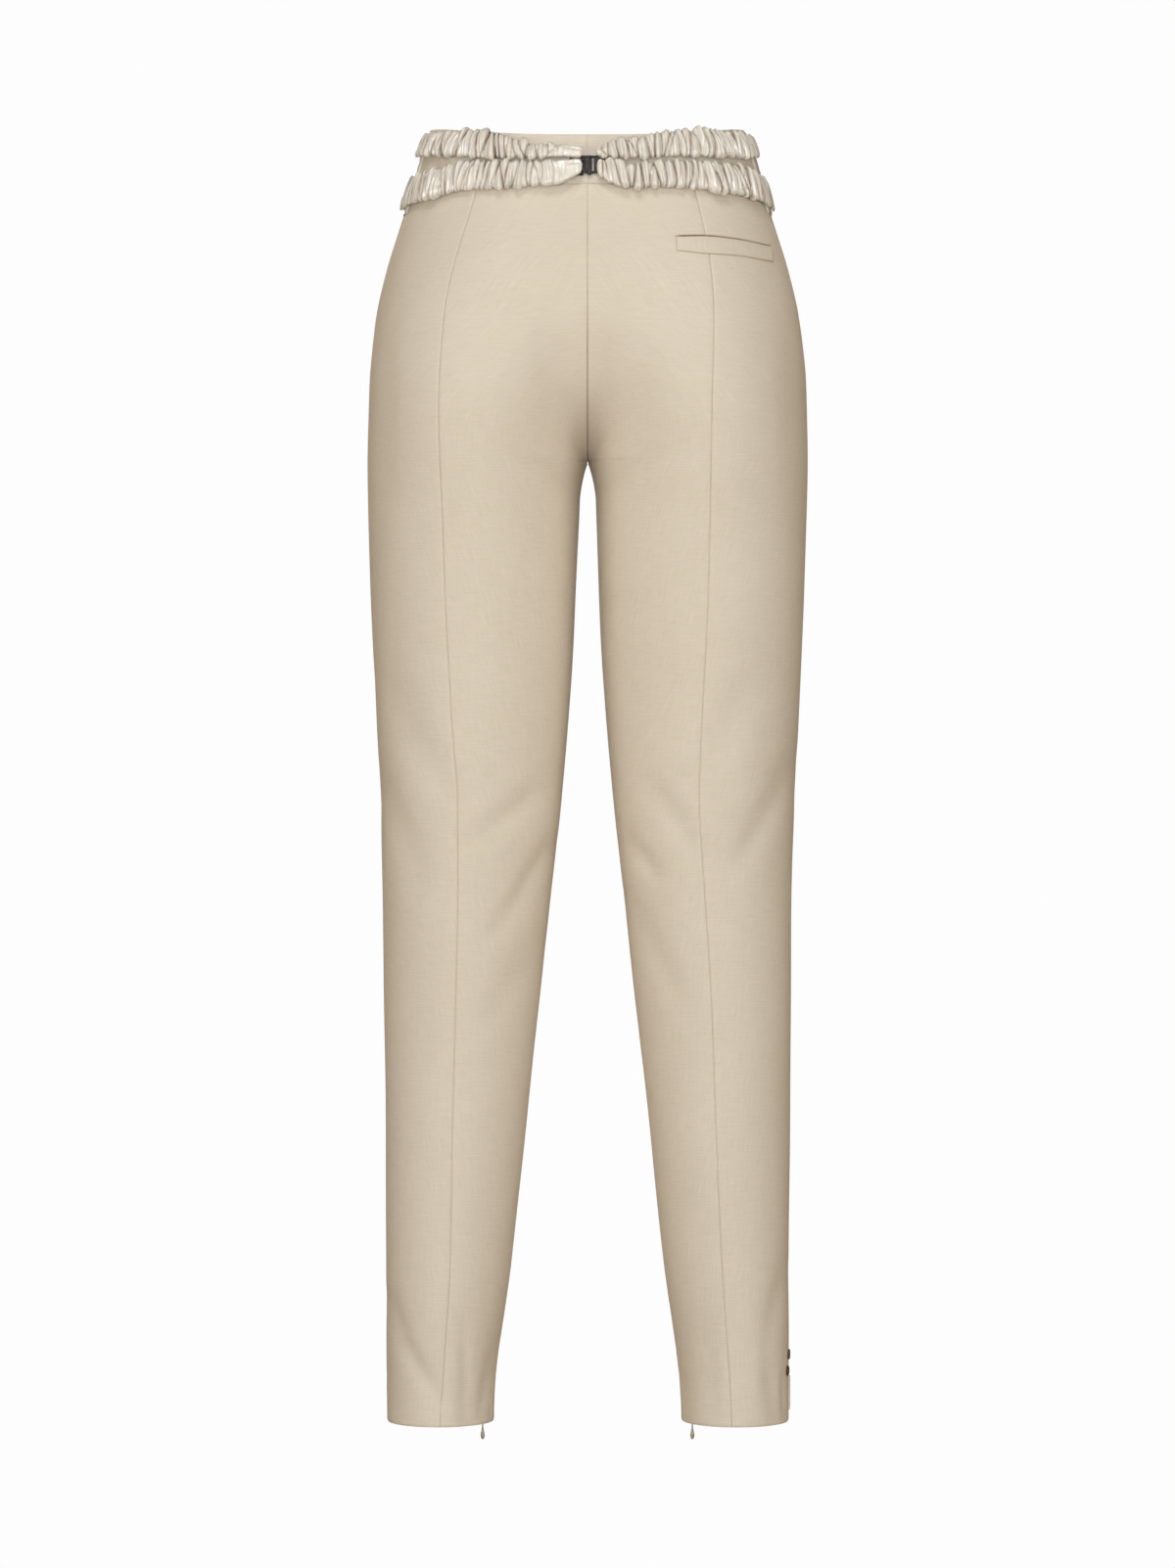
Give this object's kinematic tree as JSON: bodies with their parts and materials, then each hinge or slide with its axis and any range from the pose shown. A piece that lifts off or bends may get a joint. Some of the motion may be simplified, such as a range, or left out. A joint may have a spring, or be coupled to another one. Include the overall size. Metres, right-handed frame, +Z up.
{
  "type": "cigarette trousers",
  "caption": "Slim high-waisted wool trousers, filled out and hollow, with ruched satin elastic bands and a metal clasp across the back waist.",
  "frame": {"origin": "middle of the waist opening, near half the height of the waistband, where the wearer's waist holds it", "axes": "+Z up along the body, +Y towards the back, +X towards the wearer's left"},
  "size_m": [0.3398, 0.2285, 1.0088],
  "materials": {
    "wool": "matte, fine smooth weave",
    "satin": "lustrous satin, ruched",
    "clasp_metal": "dark gunmetal",
    "zip_metal": "dull greige",
    "zip_tape": "matte woven tape",
    "button": "polished dark horn"
  },
  "bodies": {
    "root": {"front_left": "wool", "side_back_left": "wool", "centre_back_left": "wool", "waistband_front_left": "wool", "waistband_back_left": "wool", "band_upper_left": "satin", "band_lower_left": "satin", "side_tab_left": "satin", "ankle_zip_left": "zip_tape", "zip_slider_left": "zip_metal", "front_right": "wool", "side_back_right": "wool", "centre_back_right": "wool", "waistband_front_right": "wool", "waistband_back_right": "wool", "band_upper_right": "satin", "band_lower_right": "satin", "side_tab_right": "satin", "ankle_zip_right": "zip_tape", "zip_slider_right": "zip_metal", "pocket_welt": "wool", "fly_zip": "zip_tape", "clasp_loop": "clasp_metal", "clasp_hook": "clasp_metal", "ankle_slit_satin": "satin", "ankle_button_upper": "button", "ankle_button_lower": "button"},
    "pull_left": {"zip_pull_left": "zip_metal"},
    "pull_right": {"zip_pull_right": "zip_metal"}
  },
  "joints": [
    {"name": "pull_left_swing", "type": "hinge", "parent": "root", "child": "pull_left", "pos_m": [0.08073, 0.01761, -0.9746], "axis": [0.2591, 0.9658, 0], "range_deg": [-85, 45]},
    {"name": "pull_right_swing", "type": "hinge", "parent": "root", "child": "pull_right", "pos_m": [-0.08073, 0.01761, -0.9746], "axis": [0.2591, -0.9658, 0], "range_deg": [-85, 45]}
  ]
}
